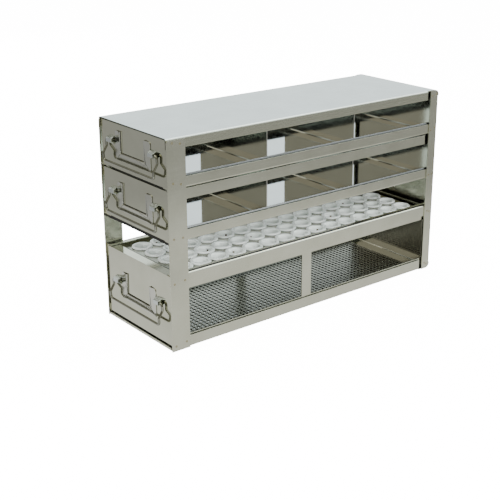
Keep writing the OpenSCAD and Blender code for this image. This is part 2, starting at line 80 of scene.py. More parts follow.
def camera_turn(azimuth, elevation, roll):
    """The turn of a camera that looks from there, rolled about its own axis."""
    tilt = Matrix.Rotation(math.pi / 2 - elevation, 3, "X")
    return Matrix.Rotation(azimuth, 3, "Z") @ tilt @ Matrix.Rotation(roll, 3, "Z")


lens = bpy.data.cameras.new("long_lens")
lens.sensor_width = 36
lens.lens = 73.9
lens.shift_x = -0.077
lens.shift_y = -0.025
camera = bpy.data.objects.new("camera", lens)
camera.matrix_world = Matrix.Translation(CAMERA_PLACE) @ camera_turn(
    CAMERA_AZIMUTH, CAMERA_ELEVATION, CAMERA_ROLL
).to_4x4()
bpy.context.scene.collection.objects.link(camera)
bpy.context.scene.camera = camera
print("camera", round((CAMERA_PLACE - RACK_MIDDLE).length, 2), "m from the rack")

# %% [markdown]
# ## Nodes and colours
#
# Colours are written as the hex values that a paint program shows. Blender works in linear
# light, so one function turns them. A second small function adds a shader node: it sets what
# is a plain value and links what is another node's output.

# %% Colour and node helpers
def colour(hex_text):
    """Linear RGBA of an sRGB hex colour such as #c0c0b8."""
    parts = [int(hex_text[i : i + 2], 16) / 255 for i in (1, 3, 5)]
    return [c / 12.92 if c <= 0.04045 else ((c + 0.055) / 1.055) ** 2.4 for c in parts] + [1]


def add(tree, kind, inputs=None, **settings):
    """Adds a node of that kind. An input is a value, or another node's output to link."""
    node = tree.nodes.new(kind)
    for name, value in settings.items():
        setattr(node, name, value)
    for socket, value in (inputs or {}).items():
        if isinstance(value, bpy.types.NodeSocket):
            tree.links.new(value, node.inputs[socket])
        else:
            node.inputs[socket].default_value = value
    return node


def empty_material(name):
    """A material with no nodes yet, and its tree."""
    material = bpy.data.materials.new(name)
    material.use_nodes = True
    material.node_tree.nodes.clear()
    return material, material.node_tree


print("linear value of #808080:", round(colour("#808080")[0], 3))

# %% [markdown]
# ## Floor, reflection card and light
#
# Polished steel has hardly any colour of its own: it shows the room. In a studio the rack
# stands on a pale sweep, with grey cards laid just out of view, so that the upright faces
# mirror a calm mid grey and not the white sweep. Blender can do the same with planes at floor
# height. The camera sees the pale one, and the steel sees the grey one. A third plane gives
# the white plastic its fill light from below. The pale one comes first.

# %% Floor
FLOOR_HALF = 9.0
FLOOR_Z, CARD_Z, BOUNCE_Z = -0.0002, -0.0004, -0.0006
FLOOR_GLOW = 14.0


def flat_stage(name, z):
    """A big plane that belongs to the studio and not to the rack."""
    bpy.ops.object.select_all(action="DESELECT")
    bpy.ops.mesh.primitive_plane_add(size=2 * FLOOR_HALF, location=(0, 0, z))
    plane = bpy.context.object
    plane.name = name
    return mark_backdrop(plane) or plane


floor = flat_stage("floor", FLOOR_Z)
material, tree = empty_material("pale_sweep")
matt = add(tree, "ShaderNodeBsdfDiffuse", {"Color": colour("#f4f4f2")})
glow = add(tree, "ShaderNodeEmission", {"Color": colour("#fefefe"), "Strength": FLOOR_GLOW})
both = add(tree, "ShaderNodeAddShader", {0: matt.outputs[0], 1: glow.outputs[0]})
add(tree, "ShaderNodeOutputMaterial", {"Surface": both.outputs[0]})
floor.data.materials.append(material)
floor.visible_glossy = False
floor.visible_diffuse = False
print("floor", 2 * FLOOR_HALF, "m wide")

# %% [markdown]
# The grey card gets darker away from the rack, as a floor does away from the lamps. Towards
# the front right it has a white strip between two dark ones. Round wires and folds pick those
# up as the bright and dark lines that make metal look like metal. The strips are written as
# degrees round the rack with a grey for each, and a colour ramp reads them.

# %% Card
CARD_NEAR, CARD_FAR = 0.30, 0.72
NEAR_LEVEL, FAR_LEVEL = 1.0, 0.46
STRIPS_FROM, STRIPS_TO = 0.24, 0.36
PLAIN, DARK, WHITE = 0.4, 0.1, 1.0
SECTORS = [
    (-96, PLAIN),
    (-88, DARK),
    (-74, DARK),
    (-64, WHITE),
    (-42, WHITE),
    (-34, DARK),
    (-20, DARK),
    (-8, PLAIN),
]

card = flat_stage("grey_card", CARD_Z)
material, tree = empty_material("grey_card")
place = add(tree, "ShaderNodeTexCoord").outputs["Object"]
away = add(tree, "ShaderNodeVectorMath", {0: place}, operation="LENGTH")
fall = add(
    tree,
    "ShaderNodeMapRange",
    {
        "Value": away.outputs["Value"],
        "From Min": CARD_NEAR,
        "From Max": CARD_FAR,
        "To Min": NEAR_LEVEL,
        "To Max": FAR_LEVEL,
    },
    interpolation_type="SMOOTHSTEP",
)
split = add(tree, "ShaderNodeSeparateXYZ", {0: place})
way = add(
    tree,
    "ShaderNodeMath",
    {0: split.outputs["Y"], 1: split.outputs["X"]},
    operation="ARCTAN2",
)
turn = add(
    tree,
    "ShaderNodeMapRange",
    {"Value": way.outputs[0], "From Min": -math.pi, "From Max": math.pi},
)
sectors = add(tree, "ShaderNodeValToRGB", {"Fac": turn.outputs[0]})
while len(sectors.color_ramp.elements) > 1:
    sectors.color_ramp.elements.remove(sectors.color_ramp.elements[-1])
sectors.color_ramp.elements[0].position = 0.0
sectors.color_ramp.elements[0].color = (PLAIN, PLAIN, PLAIN, 1)
for degrees, level in SECTORS:
    stop = sectors.color_ramp.elements.new((degrees + 180) / 360)
    stop.color = (level, level, level, 1)
outside = add(
    tree,
    "ShaderNodeMapRange",
    {"Value": away.outputs["Value"], "From Min": STRIPS_FROM, "From Max": STRIPS_TO},
)
near_or_far = add(
    tree,
    "ShaderNodeMix",
    {"Factor": outside.outputs[0], "A": (PLAIN, PLAIN, PLAIN, 1), "B": sectors.outputs[0]},
    data_type="RGBA",
)
strength = add(tree, "ShaderNodeMath", {0: fall.outputs[0], 1: 1 / PLAIN}, operation="MULTIPLY")
glow = add(
    tree,
    "ShaderNodeEmission",
    {"Color": near_or_far.outputs["Result"], "Strength": strength.outputs[0]},
)
add(tree, "ShaderNodeOutputMaterial", {"Surface": glow.outputs[0]})
card.data.materials.append(material)
card.visible_camera = False
card.visible_diffuse = False
card.visible_shadow = False
print("card with", len(SECTORS), "stops round the rack")

# %% [markdown]
# The bounce plane is a white floor that only matt surfaces see, so it lights the plastic and
# leaves the steel's mirror images alone.

# %% Bounce
BOUNCE = 1.5

bounce = flat_stage("bounce", BOUNCE_Z)
material, tree = empty_material("white_bounce")
glow = add(tree, "ShaderNodeEmission", {"Color": colour("#f8fbfa"), "Strength": BOUNCE})
add(tree, "ShaderNodeOutputMaterial", {"Surface": glow.outputs[0]})
bounce.data.materials.append(material)
bounce.visible_camera = False
bounce.visible_glossy = False
bounce.visible_shadow = False
print("bounce light of strength", BOUNCE)

# %% [markdown]
# The light comes from a white wall behind the rack and from the ceiling, both slightly blue.
# The room in front of the rack is dim, and that is what keeps the upright faces grey. The
# world shader reads each direction: its Y says how far it points behind the rack, and its Z
# how far overhead.

# %% Room light
ROOM_FRONT, ROOM_BACK, CEILING = 0.4, 1.9, 1.6
WALL_TURN = 0.3
CEILING_FROM, CEILING_TO = 0.6, 0.95
world = bpy.data.worlds.new("studio_room")
bpy.context.scene.world = world
world.use_nodes = True
tree = world.node_tree
tree.nodes.clear()
direction = add(tree, "ShaderNodeTexCoord").outputs["Generated"]
split = add(tree, "ShaderNodeSeparateXYZ", {0: direction})
behind = add(
    tree,
    "ShaderNodeMapRange",
    {
        "Value": split.outputs["Y"],
        "From Min": -WALL_TURN,
        "From Max": WALL_TURN,
        "To Min": ROOM_FRONT,
        "To Max": ROOM_BACK,
    },
    interpolation_type="SMOOTHSTEP",
)
overhead = add(
    tree,
    "ShaderNodeMapRange",
    {
        "Value": split.outputs["Z"],
        "From Min": CEILING_FROM,
        "From Max": CEILING_TO,
        "To Max": CEILING,
    },
    interpolation_type="SMOOTHSTEP",
)
level = add(
    tree, "ShaderNodeMath", {0: behind.outputs[0], 1: overhead.outputs[0]}, operation="ADD"
)
cool = add(
    tree,
    "ShaderNodeMapRange",
    {"Value": split.outputs["Y"], "From Min": -WALL_TURN, "From Max": WALL_TURN},
)
wall = add(
    tree,
    "ShaderNodeMix",
    {"Factor": cool.outputs[0], "A": colour("#f6f1dc"), "B": colour("#eef8fa")},
    data_type="RGBA",
)
air = add(
    tree, "ShaderNodeBackground", {"Color": wall.outputs["Result"], "Strength": level.outputs[0]}
)
add(tree, "ShaderNodeOutputWorld", {"Surface": air.outputs[0]})
print("room light from", ROOM_FRONT, "at the front to", ROOM_BACK, "behind")

# %% [markdown]
# One softbox at the front left adds a faint shadow, and one high up behind the rack draws the
# bright lines along its bent edges. Three more fill the white plastic from the sides, and are
# kept out of the steel's mirror images. Each line gives a softbox's place, size, watts, and
# whether the steel may mirror it.

# %% Softboxes
SOFTBOXES = {
    "front_left": ((-1.2, -1.6, 2.2), 1.6, 12, True),
    "right_fill": ((2.0, -0.5, 1.0), 1.5, 75, False),
    "left_fill": ((-2.0, 0.3, 1.0), 1.5, 18, False),
    "front_fill": ((0.3, -2.2, 0.9), 1.2, 35, False),
    "edge_light": ((0.85, 1.5, 1.85), 1.3, 15, True),
}
for name, (place, size, energy, mirrored) in SOFTBOXES.items():
    softbox = bpy.data.lights.new(name, "AREA")
    softbox.size = size
    softbox.energy = energy
    lamp = bpy.data.objects.new(name, softbox)
    lamp.location = place
    lamp.rotation_euler = (Vector((0, 0, 0.1)) - lamp.location).to_track_quat("-Z", "Y").to_euler()
    lamp.visible_glossy = mirrored
    bpy.context.scene.collection.objects.link(lamp)
print(len(SOFTBOXES), "softboxes")

# %% [markdown]
# ## Modelling helpers
#
# New pieces are modelled as by hand: start from a primitive, go into edit mode, pick faces or
# edges and run a tool on them. A script has no mouse, so `pick` selects by a test on each
# item's middle. `start` begins a piece and `done` leaves edit mode and smooths what is round.

# %% Modelling helpers
def start(name, primitive, **settings):
    """A new primitive, in edit mode with everything selected."""
    bpy.ops.object.select_all(action="DESELECT")
    primitive(**settings)
    piece = bpy.context.object
    piece.name = name
    bpy.ops.object.mode_set(mode="EDIT")
    bpy.ops.mesh.select_all(action="SELECT")
    return piece


def pick(piece, mode, test):
    """In edit mode, selects the vertices, edges or faces whose middle passes the test."""
    bpy.ops.mesh.select_mode(type=mode)
    bpy.ops.mesh.select_all(action="DESELECT")
    mesh = bmesh.from_edit_mesh(piece.data)
    items = {"VERT": mesh.verts, "EDGE": mesh.edges, "FACE": mesh.faces}[mode]
    picked = 0
    for item in items:
        corners = [item] if mode == "VERT" else item.verts
        middle = sum((corner.co for corner in corners), Vector()) / len(corners)
        if test(middle):
            item.select_set(True)
            picked += 1
    mesh.select_flush_mode()
    bmesh.update_edit_mesh(piece.data)
    return picked


def done(piece, smooth_angle=35):
    """Leaves edit mode, puts the piece at the origin and smooths edges under that angle."""
    bpy.ops.mesh.select_all(action="SELECT")
    bpy.ops.mesh.normals_make_consistent(inside=False)
    bpy.ops.object.mode_set(mode="OBJECT")
    bpy.ops.object.transform_apply(location=True, rotation=True, scale=True)
    bpy.ops.object.shade_smooth_by_angle(angle=math.radians(smooth_angle))
    return piece


def copy_of(piece, name, change):
    """A copy with its own mesh, moved by a matrix."""
    twin = piece.copy()
    twin.data = piece.data.copy()
    twin.name = name
    twin.data.transform(change)
    bpy.context.scene.collection.objects.link(twin)
    return twin


def join(pieces, name):
    """One object of several."""
    bpy.ops.object.select_all(action="DESELECT")
    for piece in pieces:
        piece.select_set(True)
    bpy.context.view_layer.objects.active = pieces[0]
    bpy.ops.object.join()
    pieces[0].name = name
    return pieces[0]


print("helpers: start, pick, done, copy_of and join")

# %% [markdown]
# ## The inserts
#
# Sixty moulded inserts hold the tubes. One is modelled and the rest are copies of it. A ring
# of 40 vertices is pulled up the outside of the sleeve, out over the flange, and back down
# the bore, and the last ring is bridged to the first. Two rings fall at the ends of the slot,
# so that the slot is two faces of the bore. They are pushed out into the wall and made one
# face, so the slot is a shallow recess. That one face is known by its six corners later, when
# the slot's floor is painted dark: painted shade that stands for the dark room under the plate.
#
# The rims are rounded, because moulded polypropylene has no sharp edge, and that rounding is
# what makes the white rings read as thick.

# %% One insert
ROUND = 40
SLEEVE_R, FLANGE_R, BORE_R = 10.6 * MM, 12.8 * MM, 9.0 * MM
FLANGE_TOP = 2.2 * MM
SLOT_TOP, SLOT_BOTTOM, SLEEVE_END = -2.0 * MM, -6.5 * MM, -10.0 * MM
HALF_SLOT, SLOT_DEPTH = 1.4 * MM, 1.1 * MM
RIM_ROUND, BORE_ROUND, UNDER_ROUND = 0.8 * MM, 0.7 * MM, 0.3 * MM
NEAR = 0.01 * MM

rings = [
    (SLEEVE_R, SLOT_BOTTOM),
    (SLEEVE_R, SLOT_TOP),
    (SLEEVE_R, 0),
    (FLANGE_R, 0),
    (FLANGE_R, FLANGE_TOP),
    (BORE_R, FLANGE_TOP),
    (BORE_R, SLOT_TOP),
    (BORE_R, SLOT_BOTTOM),
    (BORE_R, SLEEVE_END),
]
insert = start(
    "insert",
    bpy.ops.mesh.primitive_circle_add,
    vertices=ROUND,
    radius=SLEEVE_R,
    location=(0, 0, SLEEVE_END),
)
radius, height = SLEEVE_R, SLEEVE_END
for next_radius, next_height in rings:
    bpy.ops.mesh.extrude_region_move()
    bpy.ops.transform.translate(value=(0, 0, next_height - height))
    ratio = next_radius / radius
    bpy.ops.transform.resize(value=(ratio, ratio, 1), center_override=(0, 0, 0))
    radius, height = next_radius, next_height
bpy.ops.object.mode_set(mode="OBJECT")
bpy.ops.object.transform_apply(location=True, rotation=True, scale=True)
bpy.ops.object.mode_set(mode="EDIT")
open_ends = pick(insert, "EDGE", lambda m: abs(m.z - SLEEVE_END) < NEAR)
bpy.ops.mesh.bridge_edge_loops()


def across(middle):
    """Distance of a point from the insert's axis."""
    return math.hypot(middle.x, middle.y)


def in_slot(middle):
    """Whether a face of the bore's wall lies where the slot is cut."""
    in_bore = across(middle) < (BORE_R + SLEEVE_R) / 2 and middle.x > 0
    return in_bore and SLOT_BOTTOM < middle.z < SLOT_TOP and abs(middle.y) < HALF_SLOT


pick(insert, "FACE", in_slot)
bpy.ops.mesh.extrude_region_move()
bpy.ops.transform.translate(value=(SLOT_DEPTH, 0, 0))
bpy.ops.mesh.dissolve_faces()
pick(insert, "EDGE", lambda m: abs(m.z - FLANGE_TOP) < NEAR and across(m) > FLANGE_R - 0.3 * MM)
bpy.ops.mesh.bevel(offset=RIM_ROUND, segments=3, affect="EDGES")
pick(insert, "EDGE", lambda m: abs(m.z - FLANGE_TOP) < NEAR and across(m) < BORE_R + 0.1 * MM)
bpy.ops.mesh.bevel(offset=BORE_ROUND, segments=3, affect="EDGES")
pick(insert, "EDGE", lambda m: abs(m.z) < NEAR and across(m) > FLANGE_R - 0.3 * MM)
bpy.ops.mesh.bevel(offset=UNDER_ROUND, segments=1, affect="EDGES")
done(insert)
print("one insert:", len(insert.data.polygons), "faces, from", open_ends, "open edges")

# %% [markdown]
# Each row of inserts takes the place of the plain row from the CAD. The row's box says where
# its first and last inserts sit. Nobody lines up the slots when pressing the inserts in, so
# each one is turned by its own angle: 137.5 degrees on from the last never repeats.

# %% Rows of inserts
IN_A_ROW = 15
TURN = math.radians(137.5)

insert_rows = []
for row in range(1, 5):
    low, high = (Vector(corner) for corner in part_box(f"insert_row_{row}"))
    middle_x = (low.x + high.x) / 2
    pitch = (high.y - low.y - 2 * FLANGE_R) / (IN_A_ROW - 1)
    ring = []
    for column in range(IN_A_ROW):
        seat = Vector((middle_x, low.y + FLANGE_R + column * pitch, high.z - FLANGE_TOP))
        turn = Matrix.Rotation(TURN * (column + 1 + row * IN_A_ROW), 4, "Z")
        ring.append(copy_of(insert, f"insert_{row}_{column}", Matrix.Translation(seat) @ turn))
    joined = join(ring, f"inserts_{row}")
    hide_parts(f"insert_row_{row}")
    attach(joined, "tube_drawer")
    insert_rows.append(joined)
bpy.data.objects.remove(insert)
print(len(insert_rows), "rows,", round(pitch / MM, 2), "mm apart along a row")

# %% [markdown]
# ## The punched mat
#
# The mat under the inserts is thin sheet with oblong holes punched a quarter of an inch
# apart, and a plain border. One mesh of it is a three by three grid without its middle. Two
# arrays repeat it, the border is pulled out of the outer edges, and Solidify gives the
# sheet its thickness. This takes a few dozen faces a mesh, where a boolean for each hole
# would be slow and would leave slivers.

# %% Mat
PITCH = 6.35 * MM
HOLE_X, HOLE_Y = 4.9 * MM, 3.7 * MM
MAT_SHEET = 0.8 * MM

low, high = (Vector(corner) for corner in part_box("mesh_mat"))
middle = (low + high) / 2
holes = [int((high[axis] - low[axis]) / PITCH) - 1 for axis in (0, 1)]
mat = start(
    "punched_mat",
    bpy.ops.mesh.primitive_grid_add,
    x_subdivisions=3,
    y_subdivisions=3,
    size=PITCH,
    location=(0, 0, 0),
)
pick(mat, "VERT", lambda m: max(abs(m.x), abs(m.y)) < 0.3 * PITCH)
stretch = (3 * HOLE_X / PITCH, 3 * HOLE_Y / PITCH, 1)
bpy.ops.transform.resize(value=stretch, center_override=(0, 0, 0))
pick(mat, "FACE", lambda m: max(abs(m.x), abs(m.y)) < 0.01 * PITCH)
bpy.ops.mesh.delete(type="FACE")
bpy.ops.object.mode_set(mode="OBJECT")
bpy.ops.object.transform_apply(location=True, rotation=True, scale=True)
for axis, count in enumerate(holes):
    array = mat.modifiers.new(f"repeat_{axis}", "ARRAY")
    array.count = count
    array.use_relative_offset = False
    array.use_constant_offset = True
    array.constant_offset_displace = [PITCH if axis == other else 0 for other in range(3)]
    array.use_merge_vertices = True
    array.merge_threshold = NEAR
    bpy.ops.object.modifier_apply(modifier=array.name)
first_hole = [middle[axis] - (holes[axis] - 1) * PITCH / 2 for axis in (0, 1)]
mat.data.transform(Matrix.Translation((first_hole[0], first_hole[1], middle.z)))

bpy.ops.object.mode_set(mode="EDIT")
for axis in (0, 1):
    half_holes = holes[axis] * PITCH / 2
    for side, edge in ((-1, low[axis]), (1, high[axis])):
        rim = middle[axis] + side * half_holes
        pick(mat, "EDGE", lambda m: side * (m[axis] - rim) > -NEAR)
        bpy.ops.mesh.extrude_region_move()
        pull = [edge - rim if axis == other else 0 for other in range(3)]
        bpy.ops.transform.translate(value=pull)
bpy.ops.object.mode_set(mode="OBJECT")
sheet = mat.modifiers.new("sheet", "SOLIDIFY")
sheet.thickness = MAT_SHEET
sheet.offset = 0
bpy.ops.object.modifier_apply(modifier=sheet.name)
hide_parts("mesh_mat")
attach(mat, "tube_drawer")
print("mat:", holes[0], "x", holes[1], "holes,", [round(v / MM, 2) for v in mat.dimensions], "mm")

# %% [markdown]
# ## The label holders
#
# Three folded strips around an opening hold a card against each front. Their outer edges lie
# on the front and their inner edges stand off it, where each ends in a small rolled lip. The
# strips meet in mitres that were never closed, so a thin dark line runs through each lower
# corner. It starts as one upright plane the size of the plain holder from the CAD. Cuts along
# the opening and the mitres make the strips.

# %% One label holder
SIDE, LOWER = 11.0 * MM, 8.5 * MM
PROUD_OUTER, PROUD_INNER = 0.5 * MM, 1.5 * MM
LIP, LABEL_SHEET, LABEL_CORNER = 0.8 * MM, 0.6 * MM, 3.0 * MM
MITRE_GAP = 0.5 * MM
# How the lip rolls over, in lip widths: inward and out of each step. The last step drops back
LIP_STEPS = [(0.45, 0.45), (0.4, -0.1), (0.15, -0.4)]
SIDE_DROP, LOWER_DROP = 1.6, 0.4
MERGE = 0.02 * MM

low, high = (Vector(corner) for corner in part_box("upper_label_holder"))
front_y = high.y
half, tall = (high.x - low.x) / 2, high.z - low.z
inner = half - SIDE
holder = start("label_holder", bpy.ops.mesh.primitive_plane_add, size=1, location=(0, 0, 0))
bpy.ops.transform.resize(value=(2 * half, tall, 1))
bpy.ops.transform.rotate(value=-math.pi / 2, orient_axis="X", center_override=(0, 0, 0))
bpy.ops.object.mode_set(mode="OBJECT")
bpy.ops.object.transform_apply(location=True, rotation=True, scale=True)
holder.data.transform(Matrix.Translation((0, 0, tall / 2)))
bpy.ops.object.mode_set(mode="EDIT")


def cut(place, normal):
    """Cuts all faces along a plane."""
    bpy.ops.mesh.select_all(action="SELECT")
    bpy.ops.mesh.bisect(plane_co=place, plane_no=normal)


for side in (-1, 1):
    cut((side * inner, 0, 0), (1, 0, 0))
cut((0, 0, LOWER), (0, 0, 1))
for side in (-1, 1):
    along_mitre = Vector((side * SIDE, 0, -LOWER)).normalized()
    across_mitre = along_mitre.cross(Vector((0, 1, 0)))
    for offset in (-MITRE_GAP / 2, MITRE_GAP / 2):
        pick(holder, "FACE", lambda m: m.x * side > inner and m.z < LOWER)
        bpy.ops.mesh.bisect(
            plane_co=Vector((side * inner, 0, LOWER)) + offset * across_mitre, plane_no=across_mitre
        )


def in_mitre(middle):
    """Whether a point lies between the two cuts of a mitre."""
    x = abs(middle.x) - inner
    off_mitre = abs(x * LOWER + (middle.z - LOWER) * SIDE) / math.hypot(SIDE, LOWER)
    return x > 0 and off_mitre < 0.45 * MITRE_GAP


pick(holder, "FACE", lambda m: abs(m.x) < inner and m.z > LOWER)
bpy.ops.mesh.delete(type="FACE")
gaps = pick(holder, "FACE", in_mitre)
bpy.ops.mesh.delete(type="FACE")
pick(holder, "VERT", lambda m: m.z > tall - 0.1 * MM and abs(m.x) > half - 0.1 * MM)
bpy.ops.mesh.bevel(offset=LABEL_CORNER, segments=5, affect="VERTICES")


def at_opening(middle):
    """Whether a point lies on the strips' inner edges."""
    upright = abs(abs(middle.x) - inner) < 0.3 * MM and middle.z > LOWER - 0.3 * MM
    level = abs(middle.z - LOWER) < 0.3 * MM and abs(middle.x) < inner + 0.3 * MM
    return upright or level


bpy.ops.mesh.select_all(action="SELECT")
bpy.ops.transform.translate(value=(0, -PROUD_OUTER, 0))
pick(holder, "VERT", at_opening)
bpy.ops.transform.translate(value=(0, PROUD_OUTER - PROUD_INNER, 0))
inner_edges = [
    (-1, 0, SIDE_DROP, lambda m: abs(m.x + inner) < 0.1 * MM and m.z > LOWER + 1 * MM),
    (1, 0, SIDE_DROP, lambda m: abs(m.x - inner) < 0.1 * MM and m.z > LOWER + 1 * MM),
    (0, 1, LOWER_DROP, lambda m: abs(m.z - LOWER) < 0.1 * MM and abs(m.x) < inner),
]
for side_x, side_z, drop, on_edge in inner_edges:
    pick(holder, "EDGE", on_edge)
    for inward, out in LIP_STEPS + [(0.0, -drop)]:
        bpy.ops.mesh.extrude_region_move()
        bpy.ops.transform.translate(
            value=(-side_x * inward * LIP, -out * LIP, side_z * inward * LIP)
        )
bpy.ops.object.mode_set(mode="OBJECT")
sheet = holder.modifiers.new("sheet", "SOLIDIFY")
sheet.thickness = LABEL_SHEET
sheet.offset = 0
bpy.ops.object.modifier_apply(modifier=sheet.name)
holder.data.transform(Matrix.Translation((0, front_y, low.z)))
bpy.ops.object.mode_set(mode="EDIT")
bpy.ops.mesh.select_all(action="SELECT")
bpy.ops.mesh.remove_doubles(threshold=MERGE)
bpy.ops.mesh.dissolve_degenerate(threshold=MERGE)
done(holder, 50)
holders = []
for level in ("upper", "middle", "tube"):
    shift = Vector(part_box(f"{level}_label_holder")[0]) - low
    piece = copy_of(holder, f"{level}_card_holder", Matrix.Translation(shift))
    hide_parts(f"{level}_label_holder")
    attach(piece, f"{level}_drawer")
    holders.append(piece)
bpy.data.objects.remove(holder)
print(len(holders), "label holders,", gaps, "mitre gaps each")

# %% [markdown]
# ## A dark lip under the middle drawer, as painted shadow
#
# Under the middle drawer's front a dark band of shade runs from post to post. A bar from post
# to post stands for it, shaped as the lip turned down from the tie between the runners, with
# its lower edge rounded as a fold is. It is coated in near-black steel: painted shadow of the
# front above it.

# %% Lip
low, high = (Vector(corner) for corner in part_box("middle_tie"))
post = Vector(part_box("front_post_right")[0])
LIP_H, LIP_T, LIP_ROUND = 3.2 * MM, 1.2 * MM, 0.5 * MM
# The lip is a dark bar put in the shade under the middle drawer's front: painted shadow.
lip = start("middle_tie_painted_shadow_lip", bpy.ops.mesh.primitive_cube_add, size=1, location=(0, 0, 0))
bpy.ops.transform.resize(value=(2 * post.x, LIP_T, LIP_H))
bpy.ops.transform.translate(value=(0, low.y + LIP_T / 2, low.z - LIP_H / 2))
pick(lip, "EDGE", lambda m: m.z < low.z - 0.99 * LIP_H and abs(m.x) < MM)
bpy.ops.mesh.bevel(offset=LIP_ROUND, segments=3, affect="EDGES")
done(lip)
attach(lip, "frame")
print("lip", round(LIP_H / MM, 1), "mm high")

# %% [markdown]
# ## Spot welds
#
# The sheets are joined by spot welds. The current leaves a shallow round print, straw brown
# at its rim and dull grey in the middle. Each is a thin coin with 12 corners and a smaller
# ring set into its face. It is let into the sheet, and its face stands a few thousandths of a
# millimetre proud, so that it neither floats nor flickers.

# %% Spot welds
WELD_R = 1.35 * MM
WELD_PROUD = 0.006 * MM
WELD_DEEP = 0.2 * MM
WELD_WANDER = 1.2 * MM
# Heights above the floor, and distances in from the front and the back edges of the sheets
WELD_HEIGHTS = [248 * MM, 202 * MM, 138 * MM, 85 * MM, 7.5 * MM]
FROM_FRONT, FROM_BACK = [6.5 * MM, 19 * MM], [5.5 * MM, 11.5 * MM]
low, high = (Vector(corner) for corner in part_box("front_post_right"))
outside = high.x
front_edge = low.y
print("sheet's outside at", round(outside / MM, 2), "mm")
back_edge = Vector(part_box("back_panel")[1]).y
weld = start(
    "weld",
    bpy.ops.mesh.primitive_circle_add,
    vertices=12,
    radius=WELD_R,
    fill_type="NGON",
    location=(0, 0, 0),
    rotation=(0, math.pi / 2, 0),
)
bpy.ops.mesh.inset(thickness=0.55 * WELD_R, depth=0)
bpy.ops.object.mode_set(mode="OBJECT")
bpy.ops.object.transform_apply(location=True, rotation=True, scale=True)
coin = weld.modifiers.new("coin", "SOLIDIFY")
coin.thickness = WELD_DEEP
coin.offset = -1
bpy.ops.object.modifier_apply(modifier=coin.name)
weld_depths = [front_edge + gap for gap in FROM_FRONT] + [back_edge - gap for gap in FROM_BACK]
prints = []
for side in (-1, 1):
    for index, height in enumerate(WELD_HEIGHTS):
        for column, depth in enumerate(weld_depths):
            wander = WELD_WANDER * math.sin(7.3 * index + 3.1 * column + side)
            place = Vector((side * (outside + WELD_PROUD), depth + wander, height + wander))
            turn = Matrix.Rotation(0 if side > 0 else math.pi, 4, "Z")
            prints.append(copy_of(weld, f"weld_{len(prints)}", Matrix.Translation(place) @ turn))
bpy.data.objects.remove(weld)
spot_welds = join(prints, "spot_welds")
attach(spot_welds, "frame")
print(len(prints), "spot welds")

# %% [markdown]
# ## Cold-rolled stainless sheet
#
# The sheet is 304 stainless with the mill's smooth 2B finish, polished a little further.
# Rolling leaves a very fine grain along the sheet, and a sheet is never quite flat, so mirror
# images in it wander. The colour is a warm light grey that is a bit darker where hands and
# shelves have dulled it. Its real grain is about 0.05 mm wide. It is drawn ten times as wide,
# because a render can't show the real one.

# %% Steel
GRAIN_WIDTH = 0.5 * MM
GRAIN_LENGTH = 45 * MM
WAVE_LENGTH = 90 * MM
SMUDGE_LENGTH = 35 * MM
EDGE_RADIUS = 0.3 * MM
GRAIN_DEPTH = 0.006 * MM
WAVE_DEPTH = 0.10 * MM
# Cut edges: the near-black grey is painted shade of the narrow gaps beside the sheet edges, and the
# rough gloss is the cut's own. Beyond RIM_X the cut edges get it.
EDGE_SHADE_COLOUR, CUT_ROUGHNESS = "#45453e", 0.55
RIM_X = 65.5 * MM


